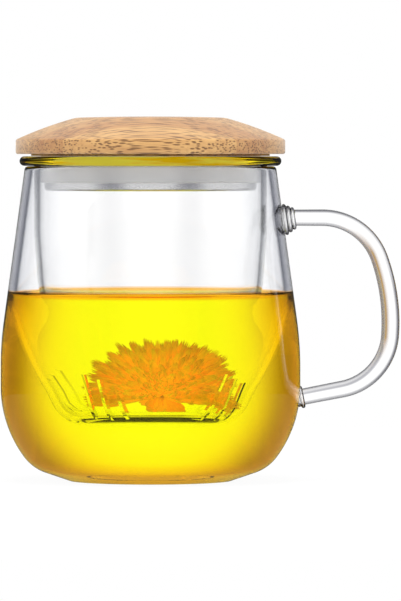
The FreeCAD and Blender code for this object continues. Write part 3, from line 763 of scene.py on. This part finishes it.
seal_radius = neck_inner - SEAL_CLEARANCE
seal_low = lid_seat - SEAL_HEIGHT
band_radius = seal_radius - BAND_IN
band_inner = band_radius - SHEET
pan_low = seal_low - BAND
pan_outline = join(
    line((0, pan_low), (band_radius - PAN_CORNER, pan_low), 4),
    arc((band_radius - PAN_CORNER, pan_low), (band_radius, pan_low + PAN_CORNER), PAN_CORNER, 6),
    [(band_radius, seal_low), (pan_wall, seal_low), (pan_wall, socket_top),
     (pan_wall - SHEET, socket_top), (pan_wall - SHEET, seal_low - SHEET),
     (band_inner, seal_low - SHEET)],
    arc((band_inner, pan_low + PAN_CORNER), (band_radius - PAN_CORNER, pan_low + SHEET),
        SHEET - PAN_CORNER, 4),
    [(0, pan_low + SHEET)])
pan = turned("steel_pan", pan_outline, 192)
steel, nodes, links, shader = new_material("spun_steel")
shader.inputs["Base Color"].default_value = STEEL
shader.inputs["Metallic"].default_value = 1
shader.inputs["Roughness"].default_value = 0.2
pan.data.materials.append(steel)
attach(pan, "lid")
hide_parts("lid_steel_pan")


# Seal: a sleeve of translucent white silicone, stretched over the pan's wall, that grips the neck.
SEAL_EDGE = 0.5
SILICONE = (0.9, 0.9, 0.91, 1)
SILICONE_GLOW = 0.2

seal_outline = join(
    [(pan_wall + FIT, seal_low)],
    arc((seal_radius - SEAL_EDGE, seal_low), (seal_radius, seal_low + SEAL_EDGE), SEAL_EDGE, 5),
    arc((seal_radius, lid_seat - SEAL_EDGE), (seal_radius - SEAL_EDGE, lid_seat), SEAL_EDGE, 5),
    [(pan_wall + FIT, lid_seat)])
seal = turned("silicone_seal", seal_outline, 192, closed=True)
silicone, nodes, links, shader = new_material("silicone")
shader.inputs["Base Color"].default_value = SILICONE
shader.inputs["Roughness"].default_value = 0.3
# The silicone glows a little: painted light, for light that the glass round it holds back.
shader.inputs["Emission Color"].default_value = WHITE
shader.inputs["Emission Strength"].default_value = SILICONE_GLOW
shader.inputs["Subsurface Weight"].default_value = 0.3
shader.inputs["Subsurface Radius"].default_value = (0.002, 0.002, 0.002)
seal.data.materials.append(silicone)
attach(seal, "lid")
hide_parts("lid_seal_ring")


# Studio: a round white table in a white surround, under three lamps. Seen through glass, both are a
# little brighter than white, and grey to the sides of the line from front to back, which draws the
# edges of the glass as dark cards would. Mirrored, both are dim, so that the glass stays clear.
CARD = (0.42, 0.42, 0.45)
CARD_STARTS = 18
CARD_FULL = 39
CARD_FADES = 44
CARD_GONE = 66
CARD_HEIGHT = (0.35, 0.7)
FRONT_GLOSS = 0.2
BACK_GLOSS = 0.05
TABLE_GLOSS = 0.12
GLASS_GAIN = 1.12
AMBIENT = 0.75
TABLE_RADIUS = 400.0
TABLE_DROP = 0.05
SEEN_FROM = 0.05
TABLE_PAINT = (0.9, 0.9, 0.9, 1)
TABLE_LIT = 0.96


def studio_colour(nodes, links, vector):
    """What glass shows in a direction: white within CARD_STARTS degrees of the line from front to
    back, either way, the card's grey from CARD_FULL to CARD_FADES, and white from CARD_GONE on
    and high above or below the card."""
    unit = nodes.new("ShaderNodeVectorMath")
    unit.operation = "NORMALIZE"
    links.new(vector, unit.inputs[0])
    split = nodes.new("ShaderNodeSeparateXYZ")
    links.new(unit.outputs[0], split.inputs[0])
    off_line = maths(nodes, links, "ARCCOSINE", maths(nodes, links, "ABSOLUTE", split.outputs[1]))
    ramp = nodes.new("ShaderNodeValToRGB")
    ramp.color_ramp.interpolation = "EASE"
    stops = ramp.color_ramp.elements
    stops[0].position, stops[0].color = CARD_STARTS / 90, WHITE
    stops[1].position, stops[1].color = CARD_GONE / 90, WHITE
    for degrees in (CARD_FULL, CARD_FADES):
        stops.new(degrees / 90).color = (*CARD, 1)
    links.new(maths(nodes, links, "DIVIDE", off_line, math.pi / 2), ramp.inputs["Fac"])
    height = maths(nodes, links, "ABSOLUTE", split.outputs[2])
    past = carried(nodes, links, height, CARD_HEIGHT, smooth=True)
    seen = blend_colours(nodes, links, past, ramp.outputs["Color"], WHITE)
    return seen, split.outputs[1]


def mirrored(nodes, links, ray):
    """1 for a ray that was only mirrored, because one bent by glass counts as glossy too."""
    return maths(nodes, links, "SUBTRACT", ray.outputs["Is Glossy Ray"], ray.outputs["Is Transmission Ray"])


table_turn = np.linspace(0, 2 * math.pi, 96, endpoint=False)
table_reach = np.array([0.0, 60, 150, 250, TABLE_RADIUS])
table_grid = np.stack([np.outer(table_reach, np.cos(table_turn)),
                       np.outer(table_reach, np.sin(table_turn)),
                       np.full((5, 96), -TABLE_DROP)], -1)
table = skin("table", table_grid, closed_columns=True)
table_paint, nodes, links, shader = new_material("table")
nodes.remove(shader)
matt = nodes.new("ShaderNodeBsdfDiffuse")
matt.inputs["Color"].default_value = TABLE_PAINT
glow = nodes.new("ShaderNodeEmission")
place = nodes.new("ShaderNodeTexCoord")
below = nodes.new("ShaderNodeVectorMath")
below.inputs[1].default_value = (0, 0, -SEEN_FROM)
links.new(place.outputs["Object"], below.inputs[0])
card_colour, _ = studio_colour(nodes, links, below.outputs[0])
ray = nodes.new("ShaderNodeLightPath")
table_colour = blend_colours(nodes, links, ray.outputs["Is Camera Ray"], card_colour, WHITE)
links.new(table_colour, glow.inputs["Color"])
dimmed = maths(nodes, links, "MULTIPLY", mirrored(nodes, links, ray), TABLE_GLOSS - 1)
gained = maths(nodes, links, "MULTIPLY", ray.outputs["Is Transmission Ray"], GLASS_GAIN - 1)
table_strength = maths(nodes, links, "ADD", maths(nodes, links, "ADD", dimmed, gained), 1.0)
links.new(table_strength, glow.inputs["Strength"])
direct = maths(nodes, links, "MAXIMUM", ray.outputs["Is Camera Ray"], ray.outputs["Is Transmission Ray"])
direct = maths(nodes, links, "MAXIMUM", direct, ray.outputs["Is Glossy Ray"])
mix = nodes.new("ShaderNodeMixShader")
links.new(maths(nodes, links, "MULTIPLY", direct, TABLE_LIT), mix.inputs[0])
links.new(matt.outputs[0], mix.inputs[1])
links.new(glow.outputs[0], mix.inputs[2])
links.new(mix.outputs[0], nodes["Material Output"].inputs["Surface"])
table.data.materials.append(table_paint)

world = bpy.data.worlds.new("studio")
bpy.context.scene.world = world
world.use_nodes = True
nodes = world.node_tree.nodes
links = world.node_tree.links
place = nodes.new("ShaderNodeTexCoord")
card_colour, forward = studio_colour(nodes, links, place.outputs["Generated"])
ray = nodes.new("ShaderNodeLightPath")
bent = ray.outputs["Is Transmission Ray"]
shown = carried(nodes, links, forward, (0, 0.5), (FRONT_GLOSS, BACK_GLOSS), smooth=True)
glossy = maths(nodes, links, "MULTIPLY", mirrored(nodes, links, ray), shown)
either = maths(nodes, links, "MAXIMUM", bent, ray.outputs["Is Glossy Ray"])
plain = maths(nodes, links, "MULTIPLY", maths(nodes, links, "SUBTRACT", 1.0, either), AMBIENT)
seen_through = maths(nodes, links, "MULTIPLY", bent, GLASS_GAIN)
strength = maths(nodes, links, "ADD", maths(nodes, links, "ADD", plain, glossy), seen_through)
strength = maths(nodes, links, "MAXIMUM", strength, ray.outputs["Is Camera Ray"])
surround_colour = blend_colours(nodes, links, bent, WHITE, card_colour)
links.new(surround_colour, nodes["Background"].inputs["Color"])
links.new(strength, nodes["Background"].inputs["Strength"])


def softbox(name, place, power, size=500):
    """A square area lamp at a place, turned to face the mug's middle; millimetres and watts."""
    data = bpy.data.lights.new(name, "AREA")
    data.size = size * MM
    data.energy = power
    lamp = bpy.data.objects.new(name, data)
    lamp.location = np.array(place) * MM
    x, y, z = np.array([0, 0, 80.0]) - np.array(place)
    lamp.rotation_euler = (math.atan2(math.hypot(x, y), -z), 0, math.atan2(y, x) - math.pi / 2)
    lamp.visible_glossy = False
    lamp.visible_transmission = False
    bpy.context.scene.collection.objects.link(lamp)


softbox("key", (-700, -900, 900), 8)
softbox("fill", (800, -700, 500), 4)
softbox("top", (0, -200, 1300), 14)
